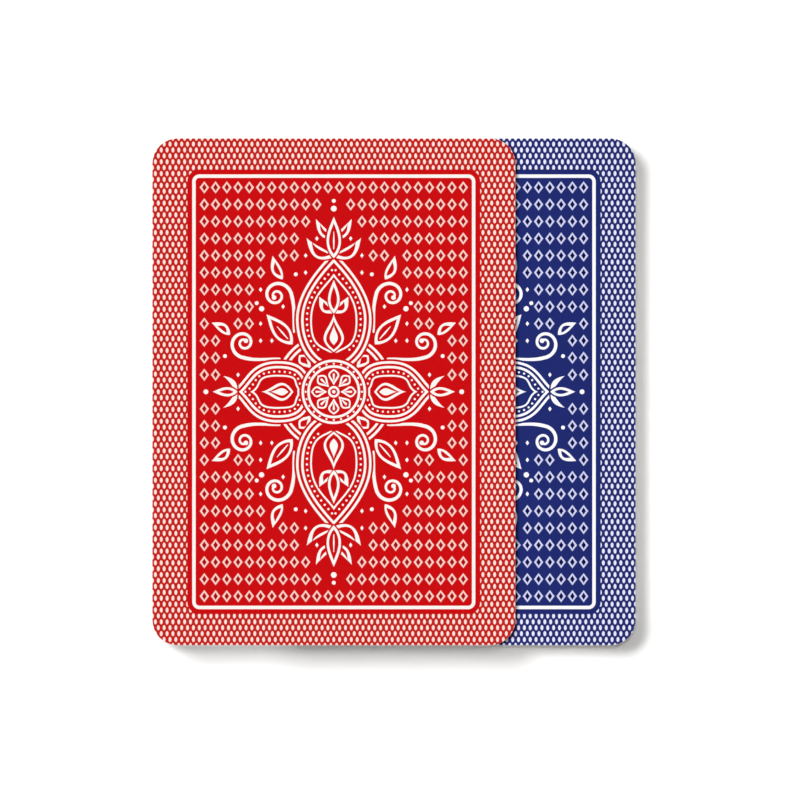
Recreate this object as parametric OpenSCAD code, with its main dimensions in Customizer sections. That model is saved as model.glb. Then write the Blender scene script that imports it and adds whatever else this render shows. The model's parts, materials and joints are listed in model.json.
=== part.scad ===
// Two packs of playing cards for rummy: a red-backed pack lying face down
// on a blue-backed pack, pushed sideways so that a strip of the blue backs shows.
// X runs across the cards, Y along them, Z up from the table; millimetres.

/* [Card] */
// Width of a card
card_w = 63; // [56:0.5:70]
// Height of a card
card_h = 88; // [80:0.5:95]
// Thickness of the coated card stock
card_t = 0.28; // [0.24:0.01:0.32]
// Radius of the four die-cut corners
corner_r = 4.4; // [2.5:0.1:6]

/* [Stack] */
// Air left between two cards lying on each other
card_gap = 0.02; // [0.02:0.01:0.1]
// How far the red pack is pushed to the left of the blue pack
pack_shift = 20.9; // [0:0.1:40]
// Largest sideways scatter of a card in a squared-up pack
scatter = 0.07; // [0:0.01:0.2]

/* [Finish] */
// Colour of the red backs
red_ink = "firebrick"; // [firebrick, crimson, red]
// Colour of the blue backs
blue_ink = "midnightblue"; // [midnightblue, navy, darkblue]

/* [Hidden] */
$fn = 64;
// cards in one suit, and in a whole pack with its two jokers
suit_n = 13;
pack_n = 4 * suit_n + 2;
// place of each suit in a pack, counted in cards from the bottom
spades_base = 0;
diamonds_base = suit_n;
clubs_base = 2 * suit_n;
hearts_base = 3 * suit_n;
joker_base = 4 * suit_n;
// height taken by one card and by one pack
pitch = card_t + card_gap;
pack_t = pack_n * pitch;
// the top card of a pack lies true; the others stray by up to scatter
function stray_x(k) = k == pack_n - 1 ? 0 : scatter * sin(137.5 * k);
function stray_y(k) = k == pack_n - 1 ? 0 : scatter * cos(222.5 * k + 40);

// ---- shared shapes ----
module card_outline() {
    square([card_w - 2 * corner_r, card_h], center = true);
    square([card_w, card_h - 2 * corner_r], center = true);
    for (sx = [-1, 1], sy = [-1, 1])
        translate([sx * (card_w / 2 - corner_r), sy * (card_h / 2 - corner_r)])
            circle(r = corner_r);
}

module card() {
    linear_extrude(height = card_t) card_outline();
}

// card k of the blue pack, counted from the table
module blue_card(k) {
    translate([pack_shift / 2 + stray_x(k), stray_y(k), k * pitch]) card();
}

// card k of the red pack, counted from the top of the blue pack
module red_card(k) {
    translate([-pack_shift / 2 - stray_x(k), stray_y(k), pack_t + k * pitch]) card();
}

// thirteen cards of one suit, lying on each other
module blue_suit(base) {
    for (i = [0 : suit_n - 1]) blue_card(base + i);
}

module red_suit(base) {
    for (i = [0 : suit_n - 1]) red_card(base + i);
}

// ---- blue-backed pack, from the table up ----
module blue_spades() { color(blue_ink) blue_suit(spades_base); }
module blue_diamonds() { color(blue_ink) blue_suit(diamonds_base); }
module blue_king_of_clubs() { color(blue_ink) blue_card(clubs_base + 0); }
module blue_queen_of_clubs() { color(blue_ink) blue_card(clubs_base + 1); }
module blue_jack_of_clubs() { color(blue_ink) blue_card(clubs_base + 2); }
module blue_ten_of_clubs() { color(blue_ink) blue_card(clubs_base + 3); }
module blue_nine_of_clubs() { color(blue_ink) blue_card(clubs_base + 4); }
module blue_eight_of_clubs() { color(blue_ink) blue_card(clubs_base + 5); }
module blue_seven_of_clubs() { color(blue_ink) blue_card(clubs_base + 6); }
module blue_six_of_clubs() { color(blue_ink) blue_card(clubs_base + 7); }
module blue_five_of_clubs() { color(blue_ink) blue_card(clubs_base + 8); }
module blue_four_of_clubs() { color(blue_ink) blue_card(clubs_base + 9); }
module blue_three_of_clubs() { color(blue_ink) blue_card(clubs_base + 10); }
module blue_two_of_clubs() { color(blue_ink) blue_card(clubs_base + 11); }
module blue_ace_of_clubs() { color(blue_ink) blue_card(clubs_base + 12); }
module blue_king_of_hearts() { color(blue_ink) blue_card(hearts_base + 0); }
module blue_queen_of_hearts() { color(blue_ink) blue_card(hearts_base + 1); }
module blue_jack_of_hearts() { color(blue_ink) blue_card(hearts_base + 2); }
module blue_ten_of_hearts() { color(blue_ink) blue_card(hearts_base + 3); }
module blue_nine_of_hearts() { color(blue_ink) blue_card(hearts_base + 4); }
module blue_eight_of_hearts() { color(blue_ink) blue_card(hearts_base + 5); }
module blue_seven_of_hearts() { color(blue_ink) blue_card(hearts_base + 6); }
module blue_six_of_hearts() { color(blue_ink) blue_card(hearts_base + 7); }
module blue_five_of_hearts() { color(blue_ink) blue_card(hearts_base + 8); }
module blue_four_of_hearts() { color(blue_ink) blue_card(hearts_base + 9); }
module blue_three_of_hearts() { color(blue_ink) blue_card(hearts_base + 10); }
module blue_two_of_hearts() { color(blue_ink) blue_card(hearts_base + 11); }
module blue_ace_of_hearts() { color(blue_ink) blue_card(hearts_base + 12); }
module blue_joker_2() { color(blue_ink) blue_card(joker_base); }
module blue_joker_1() { color(blue_ink) blue_card(joker_base + 1); }

// ---- red-backed pack, from the blue pack up ----
module red_spades() { color(red_ink) red_suit(spades_base); }
module red_diamonds() { color(red_ink) red_suit(diamonds_base); }
module red_king_of_clubs() { color(red_ink) red_card(clubs_base + 0); }
module red_queen_of_clubs() { color(red_ink) red_card(clubs_base + 1); }
module red_jack_of_clubs() { color(red_ink) red_card(clubs_base + 2); }
module red_ten_of_clubs() { color(red_ink) red_card(clubs_base + 3); }
module red_nine_of_clubs() { color(red_ink) red_card(clubs_base + 4); }
module red_eight_of_clubs() { color(red_ink) red_card(clubs_base + 5); }
module red_seven_of_clubs() { color(red_ink) red_card(clubs_base + 6); }
module red_six_of_clubs() { color(red_ink) red_card(clubs_base + 7); }
module red_five_of_clubs() { color(red_ink) red_card(clubs_base + 8); }
module red_four_of_clubs() { color(red_ink) red_card(clubs_base + 9); }
module red_three_of_clubs() { color(red_ink) red_card(clubs_base + 10); }
module red_two_of_clubs() { color(red_ink) red_card(clubs_base + 11); }
module red_ace_of_clubs() { color(red_ink) red_card(clubs_base + 12); }
module red_king_of_hearts() { color(red_ink) red_card(hearts_base + 0); }
module red_queen_of_hearts() { color(red_ink) red_card(hearts_base + 1); }
module red_jack_of_hearts() { color(red_ink) red_card(hearts_base + 2); }
module red_ten_of_hearts() { color(red_ink) red_card(hearts_base + 3); }
module red_nine_of_hearts() { color(red_ink) red_card(hearts_base + 4); }
module red_eight_of_hearts() { color(red_ink) red_card(hearts_base + 5); }
module red_seven_of_hearts() { color(red_ink) red_card(hearts_base + 6); }
module red_six_of_hearts() { color(red_ink) red_card(hearts_base + 7); }
module red_five_of_hearts() { color(red_ink) red_card(hearts_base + 8); }
module red_four_of_hearts() { color(red_ink) red_card(hearts_base + 9); }
module red_three_of_hearts() { color(red_ink) red_card(hearts_base + 10); }
module red_two_of_hearts() { color(red_ink) red_card(hearts_base + 11); }
module red_ace_of_hearts() { color(red_ink) red_card(hearts_base + 12); }
module red_joker_2() { color(red_ink) red_card(joker_base); }
module red_joker_1() { color(red_ink) red_card(joker_base + 1); }

blue_spades();
blue_diamonds();
blue_king_of_clubs();
blue_queen_of_clubs();
blue_jack_of_clubs();
blue_ten_of_clubs();
blue_nine_of_clubs();
blue_eight_of_clubs();
blue_seven_of_clubs();
blue_six_of_clubs();
blue_five_of_clubs();
blue_four_of_clubs();
blue_three_of_clubs();
blue_two_of_clubs();
blue_ace_of_clubs();
blue_king_of_hearts();
blue_queen_of_hearts();
blue_jack_of_hearts();
blue_ten_of_hearts();
blue_nine_of_hearts();
blue_eight_of_hearts();
blue_seven_of_hearts();
blue_six_of_hearts();
blue_five_of_hearts();
blue_four_of_hearts();
blue_three_of_hearts();
blue_two_of_hearts();
blue_ace_of_hearts();
blue_joker_2();
blue_joker_1();
red_spades();
red_diamonds();
red_king_of_clubs();
red_queen_of_clubs();
red_jack_of_clubs();
red_ten_of_clubs();
red_nine_of_clubs();
red_eight_of_clubs();
red_seven_of_clubs();
red_six_of_clubs();
red_five_of_clubs();
red_four_of_clubs();
red_three_of_clubs();
red_two_of_clubs();
red_ace_of_clubs();
red_king_of_hearts();
red_queen_of_hearts();
red_jack_of_hearts();
red_ten_of_hearts();
red_nine_of_hearts();
red_eight_of_hearts();
red_seven_of_hearts();
red_six_of_hearts();
red_five_of_hearts();
red_four_of_hearts();
red_three_of_hearts();
red_two_of_hearts();
red_ace_of_hearts();
red_joker_2();
red_joker_1();
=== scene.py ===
import json
import math

import bpy
import numpy as np
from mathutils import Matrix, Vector
from mathutils.geometry import delaunay_2d_cdt


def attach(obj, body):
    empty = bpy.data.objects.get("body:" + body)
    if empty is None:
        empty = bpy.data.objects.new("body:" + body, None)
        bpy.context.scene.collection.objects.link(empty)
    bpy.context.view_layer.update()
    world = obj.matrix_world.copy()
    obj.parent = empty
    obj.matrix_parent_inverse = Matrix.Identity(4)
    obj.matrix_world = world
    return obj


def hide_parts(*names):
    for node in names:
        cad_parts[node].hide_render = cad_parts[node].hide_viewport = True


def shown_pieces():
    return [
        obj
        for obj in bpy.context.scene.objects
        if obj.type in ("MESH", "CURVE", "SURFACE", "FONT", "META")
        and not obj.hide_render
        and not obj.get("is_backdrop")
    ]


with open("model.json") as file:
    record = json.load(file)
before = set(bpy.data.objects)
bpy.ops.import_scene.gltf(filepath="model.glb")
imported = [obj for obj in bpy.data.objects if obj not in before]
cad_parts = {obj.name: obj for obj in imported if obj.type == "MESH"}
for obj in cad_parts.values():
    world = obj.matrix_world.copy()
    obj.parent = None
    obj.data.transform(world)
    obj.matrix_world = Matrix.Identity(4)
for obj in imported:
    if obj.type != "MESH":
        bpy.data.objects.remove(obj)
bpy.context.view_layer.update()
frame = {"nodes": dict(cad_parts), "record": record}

# The pieces are playing cards: every card is a closed sheet of coated card with its own printed back and front.
# Drawings are in millimetres from a card's centre, and every mesh is in metres.

CARD_W, CARD_H, CORNER = 63.0, 88.0, 4.4
THICK = 0.276          # a card as it is drawn, inside the 0.28 mm of its solid
ROUND = 0.022          # the die leaves the rim of both faces a little rounded
SCENE = bpy.context.scene

# ------------------------------------------------------------------ vector drawing


def P(*a):
    return np.array(a, float)


def arc(c, r, a0, a1, n=None):
    n = n or max(6, int(abs(a1 - a0) / math.radians(9)) + 1)
    t = np.linspace(a0, a1, n)
    return np.stack([c[0] + r * np.cos(t), c[1] + r * np.sin(t)], 1)


def disc(c, r, n=32):
    return arc(c, r, 0, 2 * math.pi, n + 1)[:-1]


def oval(c, rx, ry, n=36):
    return disc((0, 0), 1, n) * [rx, ry] + np.array(c, float)


def bez(p0, p1, p2, p3, n=18):
    p0, p1, p2, p3 = (np.array(p, float) for p in (p0, p1, p2, p3))
    t = np.linspace(0, 1, n)[:, None]
    return (1 - t) ** 3 * p0 + 3 * (1 - t) ** 2 * t * p1 + 3 * (1 - t) * t * t * p2 + t**3 * p3


def join(*parts):
    out = [np.array(parts[0], float)]
    for q in parts[1:]:
        q = np.array(q, float)
        out.append(q[1:] if np.allclose(q[0], out[-1][-1], atol=1e-6) else q)
    return np.concatenate(out)


def spiral(c, r0, r1, a0, turns, ccw=True, n_turn=34):
    n = max(8, int(n_turn * turns))
    t = np.linspace(0, 1, n)
    a = a0 + (1 if ccw else -1) * 2 * math.pi * turns * t
    r = r0 * (r1 / r0) ** t
    return np.stack([c[0] + r * np.cos(a), c[1] + r * np.sin(a)], 1)


def scroll(root, rdir, c, r0, r1, a0, turns, ccw=True, k0=0.45, k1=0.45):
    """A stem that leaves root along rdir and winds up into a spiral round c."""
    sp = spiral(c, r0, r1, a0, turns, ccw)
    t1 = sp[1] - sp[0]
    t1 = t1 / np.linalg.norm(t1)
    root, rd = np.array(root, float), np.array(rdir, float)
    d = np.linalg.norm(sp[0] - root)
    rd = rd / np.linalg.norm(rd)
    return join(bez(root, root + rd * d * k0, sp[0] - t1 * d * k1, sp[0], 16), sp)


def along(path):
    d = np.linalg.norm(np.diff(path, axis=0), axis=1)
    s = np.concatenate([[0], np.cumsum(d)])
    return s / s[-1]


def stroke(path, width, cap0=True, cap1=True):
    """Closed outline of a pen stroke along path; width is a number or [(s, width), ...] with s from 0 to 1."""
    path = np.array(path, float)
    s = along(path)
    if np.isscalar(width):
        w = np.full(len(path), float(width))
    else:
        w = np.interp(s, [a for a, _ in width], [b for _, b in width])
    t = np.gradient(path, axis=0)
    t /= np.linalg.norm(t, axis=1)[:, None]
    nrm = np.stack([-t[:, 1], t[:, 0]], 1)
    left, right = path + nrm * w[:, None] / 2, path - nrm * w[:, None] / 2
    out = [left]
    if cap1:
        a = math.atan2(nrm[-1, 1], nrm[-1, 0])
        out.append(arc(path[-1], w[-1] / 2, a, a - math.pi, 7)[1:-1])
    out.append(right[::-1])
    if cap0:
        a = math.atan2(-nrm[0, 1], -nrm[0, 0])
        out.append(arc(path[0], w[0] / 2, a, a - math.pi, 7)[1:-1])
    return np.concatenate(out)


def leaf(p0, p1, half, bend=0.0, n=14, sharp=1.0):
    """Pointed leaf from p0 to p1; bend moves its middle sideways."""
    p0, p1 = np.array(p0, float), np.array(p1, float)
    d = p1 - p0
    u = d / np.linalg.norm(d)
    v = np.array([-u[1], u[0]])
    t = np.linspace(0, 1, n)
    mid = p0 + d * t[:, None] + v * (bend * 4 * t * (1 - t))[:, None]
    w = half * np.sin(math.pi * t**sharp)
    return np.concatenate([mid + v * w[:, None], (mid - v * w[:, None])[::-1][1:-1]])


def drop(p0, p1, half, n=20, full=0.68):
    """Teardrop: pointed at p0, round at p1."""
    p0, p1 = np.array(p0, float), np.array(p1, float)
    d = p1 - p0
    u = d / np.linalg.norm(d)
    v = np.array([-u[1], u[0]])
    t = np.linspace(0, 1, n)
    w = half * np.sin(math.pi * t ** (math.log(0.5) / math.log(full)))
    mid = p0 + d * t[:, None]
    return np.concatenate([mid + v * w[:, None], (mid - v * w[:, None])[::-1][1:-1]])


def grow(poly, d):
    """Outline moved outwards by d (inwards if negative), corner by corner; the outline may run either way round."""
    poly = np.array(poly, float)
    x, y = poly[:, 0], poly[:, 1]
    if np.sum(x * np.roll(y, -1) - np.roll(x, -1) * y) < 0:
        poly = poly[::-1]
    a, b = poly - np.roll(poly, 1, 0), np.roll(poly, -1, 0) - poly
    a /= np.linalg.norm(a, axis=1)[:, None]
    b /= np.linalg.norm(b, axis=1)[:, None]
    na, nb = np.stack([a[:, 1], -a[:, 0]], 1), np.stack([b[:, 1], -b[:, 0]], 1)
    m = na + nb
    m /= np.maximum(np.linalg.norm(m, axis=1)[:, None], 1e-6)
    c = np.maximum((m * na).sum(1), 0.5)[:, None]
    return poly + m * d / c


def rounded(hx, hy, r, n=12):
    """Rounded rectangle about the origin, anticlockwise, with n steps round each corner."""
    out = []
    for i, (sx, sy) in enumerate(((1, 1), (-1, 1), (-1, -1), (1, -1))):
        out.append(arc((sx * (hx - r), sy * (hy - r)), r, i * math.pi / 2, (i + 1) * math.pi / 2, n + 1))
    return np.concatenate(out)


def turned(shapes):
    """The same shapes the other way up, for the lower half of a card."""
    return [(-p, t) for p, t in shapes]


def covers(poly, pts):
    """Which of pts lie inside the closed outline, by its winding number."""
    x, y = pts[:, 0][:, None], pts[:, 1][:, None]
    x0, y0 = poly[:, 0], poly[:, 1]
    x1, y1 = np.roll(x0, -1), np.roll(y0, -1)
    side = (x1 - x0) * (y - y0) - (x - x0) * (y1 - y0)
    up = (y0 <= y) & (y1 > y) & (side > 0)
    down = (y0 > y) & (y1 <= y) & (side < 0)
    return up.sum(1) != down.sum(1)


def painted(shapes, pts):
    """The tone at each of pts after every shape has been laid down in order."""
    tone = np.zeros(len(pts), int)
    for poly, t in shapes:
        lo, hi = poly.min(0), poly.max(0)
        near = np.flatnonzero(((pts >= lo) & (pts <= hi)).all(1))
        if len(near):
            tone[near[covers(poly, pts[near])]] = t
    return tone


# ------------------------------------------------------------------ drawings cut into a card's face


def triangles(lines, rim):
    """Triangulation of the face inside rim with every line as edges: points, triangles, the lines' edges, rim points."""
    pts, edges = [tuple(p) for p in rim], [(i, (i + 1) % len(rim)) for i in range(len(rim))]
    for line, closed in lines:
        n0, n = len(pts), len(line)
        pts.extend(tuple(p) for p in line)
        edges.extend((n0 + i, n0 + (i + 1) % n) for i in range(n if closed else n - 1))
    v, e, f, ov, oe, _ = delaunay_2d_cdt([Vector(p) for p in pts], edges, [], 0, 2e-5)
    v = np.array([tuple(p) for p in v])
    f = np.array([t for t in f if len(t) == 3], int)
    a, b, c = v[f[:, 0]], v[f[:, 1]], v[f[:, 2]]
    area = (b[:, 0] - a[:, 0]) * (c[:, 1] - a[:, 1]) - (b[:, 1] - a[:, 1]) * (c[:, 0] - a[:, 0])
    f[area < 0] = f[area < 0][:, ::-1]
    held = {(min(p), max(p)) for p, o in zip(e, oe) if len(o)}
    first = {}
    for i, o in enumerate(ov):
        for k in o:
            first[k] = i
    return v, f, held, [first[i] for i in range(len(rim))]


def sides_of(f):
    """Every edge of the triangles with the two triangles on it (-1 where there is one)."""
    e = np.sort(np.concatenate([f[:, [0, 1]], f[:, [1, 2]], f[:, [2, 0]]]), 1)
    tri = np.tile(np.arange(len(f)), 3)
    order = np.lexsort((e[:, 1], e[:, 0]))
    e, tri = e[order], tri[order]
    same = np.append((e[1:] == e[:-1]).all(1), False)
    starts = np.flatnonzero(~np.insert(same[:-1], 0, False))
    pair = np.where(same[starts], tri[np.minimum(starts + 1, len(tri) - 1)], -1)
    return e[starts], tri[starts], pair


def thinned(line, tol):
    """The points of a line that keep it within tol of itself."""
    keep = np.zeros(len(line), bool)
    keep[[0, -1]] = True
    todo = [(0, len(line) - 1)]
    while todo:
        i, j = todo.pop()
        if j - i < 2:
            continue
        a, b = line[i], line[j]
        d = b - a
        q = line[i + 1 : j] - a
        L2 = d @ d
        s = np.clip(q @ d / L2, 0, 1) if L2 > 0 else np.zeros(len(q))
        off = np.linalg.norm(q - s[:, None] * d, axis=1)
        k = int(off.argmax())
        if off[k] > tol:
            keep[i + 1 + k] = True
            todo += [(i, i + 1 + k), (i + 1 + k, j)]
    return line[keep]


def outlines(v, f, tone, tol):
    """The lines between areas of different tone, thinned."""
    e, t0, t1 = sides_of(f)
    cut = e[(t1 >= 0) & (tone[t0] != tone[np.maximum(t1, 0)])]
    near = {}
    for a, b in cut.tolist():
        near.setdefault(a, []).append(b)
        near.setdefault(b, []).append(a)
    used, lines = set(), []

    def walk(a, b):
        path = [a, b]
        used.add((min(a, b), max(a, b)))
        while len(near[path[-1]]) == 2 and path[-1] != path[0]:
            p, q = near[path[-1]]
            n = q if p == path[-2] else p
            k = (min(path[-1], n), max(path[-1], n))
            if k in used:
                break
            used.add(k)
            path.append(n)
        return path

    for ends_first in (True, False):
        for a in near:
            if ends_first and len(near[a]) == 2:
                continue
            for b in near[a]:
                if (min(a, b), max(a, b)) not in used:
                    path = walk(a, b)
                    p = v[path]
                    if path[0] == path[-1] and len(path) > 3:
                        far = int(np.linalg.norm(p - p[0], axis=1).argmax())
                        p = np.concatenate([thinned(p[: far + 1], tol), thinned(p[far:], tol)[1:]])
                        lines.append((p[:-1], True))
                    else:
                        lines.append((thinned(p, tol), False))
    return lines


def engraved(shapes, rim, tol=0.012):
    """A face with a drawing cut into it: points, triangles, the tone of each triangle, rim points."""
    v, f, _, _ = triangles([(p, True) for p, _ in shapes], rim)
    tone = painted(shapes, v[f].mean(1))
    v, f, held, edge = triangles(outlines(v, f, tone, tol), rim)
    mid = v[f].mean(1)
    tone = painted(shapes, mid)
    a, b, c = v[f[:, 0]], v[f[:, 1]], v[f[:, 2]]
    area = abs((b[:, 0] - a[:, 0]) * (c[:, 1] - a[:, 1]) - (b[:, 1] - a[:, 1]) * (c[:, 0] - a[:, 0]))
    root = list(range(len(f)))

    def top(i):
        while root[i] != i:
            root[i] = root[root[i]]
            i = root[i]
        return i

    e, t0, t1 = sides_of(f)
    for (p, q), i, j in zip(e.tolist(), t0.tolist(), t1.tolist()):
        if j >= 0 and (p, q) not in held:
            root[top(i)] = top(j)
    votes = {}
    for i in range(len(f)):
        votes.setdefault(top(i), {}).setdefault(int(tone[i]), 0.0)
        votes[top(i)][int(tone[i])] += area[i]
    best = {r: max(t, key=t.get) for r, t in votes.items()}
    return v, f, np.array([best[top(i)] for i in range(len(f))]), edge


# ------------------------------------------------------------------ the back

COL, ROW = 22.48 / 11.5, 2.957      # spacing of the small diamonds
GROUND, INK, WHITE = 0, 1, 2
LINE = 0.42


def medallion():
    """[(closed outline, tone)] in painting order: four beaded lobes round a rosette, with leaf sprays between them."""
    q, o, ring, vv, hh, bq = [], [], [], [], [], []

    def ribbon(lst, path, w, gap=0.36):
        ww = [(0, w), (1, w)] if np.isscalar(w) else w
        for extra, tone in ((2 * gap, INK), (0, WHITE), (-2 * LINE, INK)):
            lst.append((stroke(path, [(s, max(x + extra, 0.02)) for s, x in ww]), tone))

    def leaf2(lst, p0, p1, half, bend=0.0, gap=0.34, line=LINE, n=18):
        p0, p1 = np.array(p0, float), np.array(p1, float)
        u = (p1 - p0) / np.linalg.norm(p1 - p0)
        if gap:
            lst.append((leaf(p0 - u * gap, p1 + u * gap * 2, half + gap, bend, n, 0.8), INK))
        lst.append((leaf(p0, p1, half, bend, n, 0.8), WHITE))
        if half > line:
            lst.append((leaf(p0 + u * line * 1.7, p1 - u * line * 2.6, half - line, bend, n, 0.8), INK))

    def drop2(lst, p0, p1, half, gap=0.34, line=LINE, n=24):
        p0, p1 = np.array(p0, float), np.array(p1, float)
        u = (p1 - p0) / np.linalg.norm(p1 - p0)
        if gap:
            lst.append((drop(p0 - u * gap * 2, p1 + u * gap, half + gap, n, 0.64), INK))
        lst.append((drop(p0, p1, half, n, 0.64), WHITE))
        if half > line:
            lst.append((drop(p0 + u * line * 2.4, p1 - u * line, half - line, n, 0.64), INK))

    def dot(lst, c, r, gap=0.34):
        if gap:
            lst.append((disc(c, r + gap, 20), INK))
        lst.append((disc(c, r, 16), WHITE))

    def pearls(lst, path, r, step, skip=0.0):
        """A row of dots along path, evenly spaced, leaving skip free at both ends."""
        d = np.concatenate([[0], np.cumsum(np.linalg.norm(np.diff(path, axis=0), axis=1))])
        n = max(2, int(round((d[-1] - 2 * skip) / step)) + 1)
        for s in np.linspace(skip, d[-1] - skip, n):
            c = (np.interp(s, d, path[:, 0]), np.interp(s, d, path[:, 1]))
            lst.append((disc(c, r, 8), WHITE))

    def curl(lst, path, pen):
        """A stem that winds up, with a bead on its end."""
        lst.append((stroke(path, [(s, w + 0.72) for s, w in pen]), INK))
        lst.append((stroke(path, pen), WHITE))
        dot(lst, path[-1], 0.4, 0)

    # sprays on the diagonals: two scrolls that end in a ball, leaflets on their backs, and a leaf between them
    d = math.radians(49)
    u = np.array([math.cos(d), math.sin(d)])
    pen = [(0, 0.34), (0.3, 0.62), (0.65, 0.52), (1, 0.36)]
    leaf2(q, (8.9, 19.5), (10.6, 23.6), 0.86, bend=-0.35)
    leaf2(q, (18.0, 9.9), (21.2, 12.0), 0.8, bend=0.3)
    dot(q, (6.6, 20.4), 0.34)
    dot(q, (18.9, 6.2), 0.34)
    curl(q, scroll((6.9, 10.4), (0.1, 1), (10.0, 16.7), 2.7, 0.5, math.radians(180), 1.62, False, 0.3, 0.4), pen)
    curl(q, scroll((9.4, 5.75), (1, 0.05), (15.6, 8.5), 2.6, 0.5, math.radians(-90), 1.62, True, 0.3, 0.4), pen)
    leaf2(q, u * 10.9, u * 17.8, 1.42)
    q.append((stroke([u * 12.2, u * 13.6, u * 15.0], [(0, 0.16), (0.4, 0.34), (1, 0.1)]), WHITE))
    for r, size in ((19.1, 0.46), (20.4, 0.34)):
        dot(q, u * r, size)
    # ring
    for r, tone in ((10.75, INK), (10.4, WHITE), (10.4 - LINE, INK), (9.55, WHITE), (9.55 - LINE, INK)):
        ring.append((disc((0, 0), r, 72), tone))
    # petals inside the ring, between the lobes
    b = math.radians(46.5)
    w = np.array([math.cos(b), math.sin(b)])
    drop2(bq, w * 5.4, w * 8.75, 0.98, gap=0)

    def lobe(w, y0, ym, y1):
        a = bez(P(0.6, y0), P(w * 0.66, y0 + 1.0), P(w, ym - 4.2), P(w, ym), 18)
        b = bez(P(w, ym), P(w, ym + 4.4), P(w * 0.36, y1 - 2.2), P(0, y1), 18)
        right = join(a, b)
        return np.concatenate([right, (right * [-1, 1])[::-1][1:]])

    # lobes left and right
    side = lobe(4.7, 4.2, 9.8, 16.8)[:, ::-1]
    hh.append((side, INK))
    ribbon(hh, side, 1.24)
    inner = lobe(2.95, 6.0, 9.8, 14.5)[:, ::-1]
    pearls(hh, lobe(3.5, 5.5, 9.8, 15.35)[:, ::-1], 0.19, 0.92, 0.9)
    hh.append((inner, WHITE))
    hh.append((grow(inner, -0.3), INK))
    drop2(hh, (12.6, 0), (7.0, 0), 1.55, gap=0.3)
    hh.append((drop((11.0, 0), (7.9, 0), 0.62, 14, 0.64), WHITE))
    # lobes above and below
    top = lobe(5.9, 4.2, 12.6, 23.4)
    vv.append((top, INK))
    ribbon(vv, top, 1.3)
    inner = lobe(4.1, 6.8, 12.4, 20.5)
    pearls(vv, lobe(4.68, 6.2, 12.5, 21.5), 0.2, 0.98, 2.4)
    vv.append((inner, WHITE))
    vv.append((grow(inner, -0.3), INK))
    drop2(vv, (0, 13.6), (0, 6.9), 1.75, gap=0.3)
    vv.append((drop((0, 11.6), (0, 8.1), 0.7, 16, 0.64), WHITE))
    for sx in (1, -1):
        leaf2(vv, (0.0, 13.7), (sx * 2.5, 16.5), 0.86, bend=-sx * 0.45, gap=0.2)
    leaf2(vv, (0, 13.6), (0, 19.4), 1.0, gap=0.2)
    # tips
    for sx in (1, -1):
        leaf2(vv, (0.0, 26.4), (sx * 3.1, 30.0), 0.72, bend=-sx * 0.5)
        leaf2(vv, (0.0, 23.4), (sx * 4.7, 26.7), 0.98, bend=-sx * 0.9)
    leaf2(vv, (0, 23.2), (0, 30.4), 1.25)
    vv.append((stroke([P(0, 24.8), P(0, 26.2), P(0, 27.8)], [(0, 0.16), (0.4, 0.32), (1, 0.1)]), WHITE))
    for y, size in ((31.8, 0.5), (33.15, 0.34)):
        dot(vv, (0, y), size)
    for sy in (1, -1):
        leaf2(hh, (16.8, 0.0), (19.2, sy * 2.75), 0.42, bend=sy * 0.5)
    leaf2(hh, (16.7, 0), (21.0, 0), 0.8)
    dot(hh, (22.2, 0), 0.42)
    # rosette in the middle
    for r, tone in ((5.95, INK), (5.6, WHITE), (5.6 - LINE, INK), (4.6, WHITE), (4.6 - LINE, INK)):
        o.append((disc((0, 0), r, 64), tone))
    for i in range(24):
        a = 2 * math.pi * i / 24
        o.append((disc((4.89 * math.cos(a), 4.89 * math.sin(a)), 0.19, 8), WHITE))
    for i in range(8):
        a = 2 * math.pi * i / 8
        w = np.array([math.cos(a), math.sin(a)])
        o.append((drop(w * 0.9, w * 3.95, 0.96, 16, 0.66), WHITE))
        o.append((drop(w * 1.6, w * 3.62, 0.64, 16, 0.66), INK))
        o.append((stroke([w * 2.0, w * 2.5, w * 3.0], [(0, 0.16), (1, 0.4)]), WHITE))
    for r, tone in ((1.25, INK), (1.0, WHITE), (0.62, INK), (0.3, WHITE)):
        o.append((disc((0, 0), r, 28), tone))

    four = [(p * [sx, sy], t) for sx, sy in ((1, 1), (-1, 1), (1, -1), (-1, -1)) for p, t in q]
    buds = [(p * [sx, sy], t) for sx, sy in ((1, 1), (-1, 1), (1, -1), (-1, -1)) for p, t in bq]
    sides = [(p * [sx, 1], t) for sx in (1, -1) for p, t in hh]
    ends = [(p * [1, sy], t) for sy in (1, -1) for p, t in vv]
    drawn = four + ring + buds + sides + ends + o
    # every cell of the diamond grid whose diamond would touch the drawing is left plain
    probe = P((0, 0), (0.86, 0), (-0.86, 0), (0, 1.2), (0, -1.2), (0.48, 0.62), (-0.48, 0.62), (0.48, -0.62), (-0.48, -0.62))
    cells = np.array([((i - 11.5) * COL, j * ROW) for i in range(24) for j in range(-12, 13)])
    hit = painted([(p, 1) for p, _ in drawn], (cells[:, None] + probe).reshape(-1, 2)).reshape(len(cells), -1).any(1)
    hit |= (np.hypot(*cells.T) < 14) | ((abs(cells[:, 0]) < 18) & (abs(cells[:, 1]) < 4))
    # and so is a cell left with fewer than two neighbours
    plain = np.pad(hit.reshape(24, 25), 1)
    for _ in range(2):
        alone = plain[:-2, 1:-1].astype(int) + plain[2:, 1:-1] + plain[1:-1, :-2] + plain[1:-1, 2:] > 2
        plain[1:-1, 1:-1] |= alone
    box = np.array([COL, ROW]) / 2 * P((-1, -1), (1, -1), (1, 1), (-1, 1))
    ground = [(c + box, INK) for c, h in zip(cells, plain[1:-1, 1:-1].ravel()) if h]
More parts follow.
